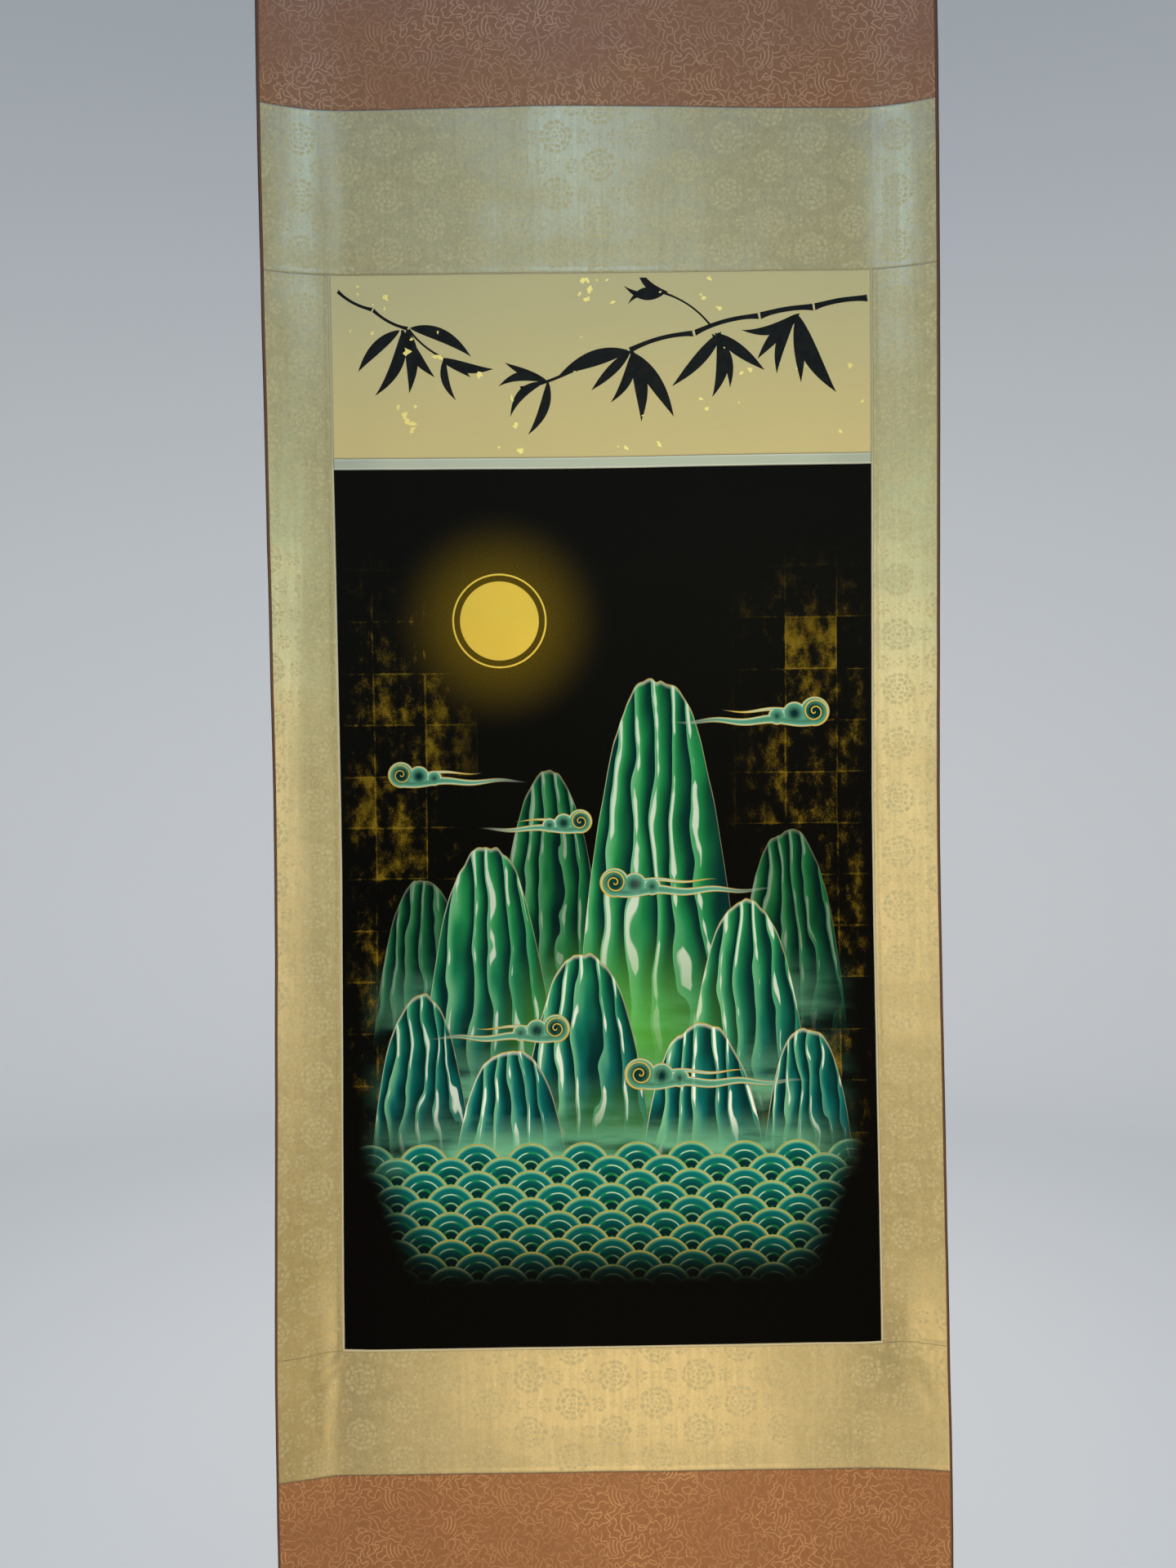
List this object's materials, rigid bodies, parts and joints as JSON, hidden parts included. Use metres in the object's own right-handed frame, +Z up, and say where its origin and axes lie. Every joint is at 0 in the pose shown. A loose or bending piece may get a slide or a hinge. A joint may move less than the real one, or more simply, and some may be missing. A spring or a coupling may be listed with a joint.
{
  "type": "chinese scroll painting",
  "caption": "Long hanging scroll: a framed painting below a flecked slip, set in silk damask with rust brocade end panels, hanging with curled edges and a bowed waist.",
  "frame": {"origin": "middle of the top edge of the sheet, where whatever holds it up grips it", "axes": "+Z up the sheet, +X to the right seen from the front, -Y out of the painted face"},
  "size_m": [0.7468, 0.0586, 2.0146],
  "materials": {
    "rust_brocade": "figured silk brocade with fine meandering lines, backed with paper",
    "olive_damask": "silk damask with round flower medallions, satin sheen, backed with paper",
    "pale_silk": "plain fine silk strip with pale edges",
    "flecked_paper": "toned paper with irregular gold leaf flecks",
    "painted_paper": "black ground with jade green, teal and gold paint, matt with a faint sheen",
    "fillet_paper": "narrow pale paper edging",
    "rust_binding": "folded rust silk edging"
  },
  "bodies": {
    "root": {"heaven_panel": "rust_brocade", "upper_damask_band": "olive_damask", "left_damask_border": "olive_damask", "right_damask_border": "olive_damask", "lower_damask_band": "olive_damask", "earth_panel": "rust_brocade", "inscription_slip": "flecked_paper", "divider_strip": "pale_silk", "painting_sheet": "painted_paper", "left_fillet": "fillet_paper", "right_fillet": "fillet_paper", "bottom_fillet": "fillet_paper", "left_edge_binding": "rust_binding", "right_edge_binding": "rust_binding"}
  },
  "joints": []
}
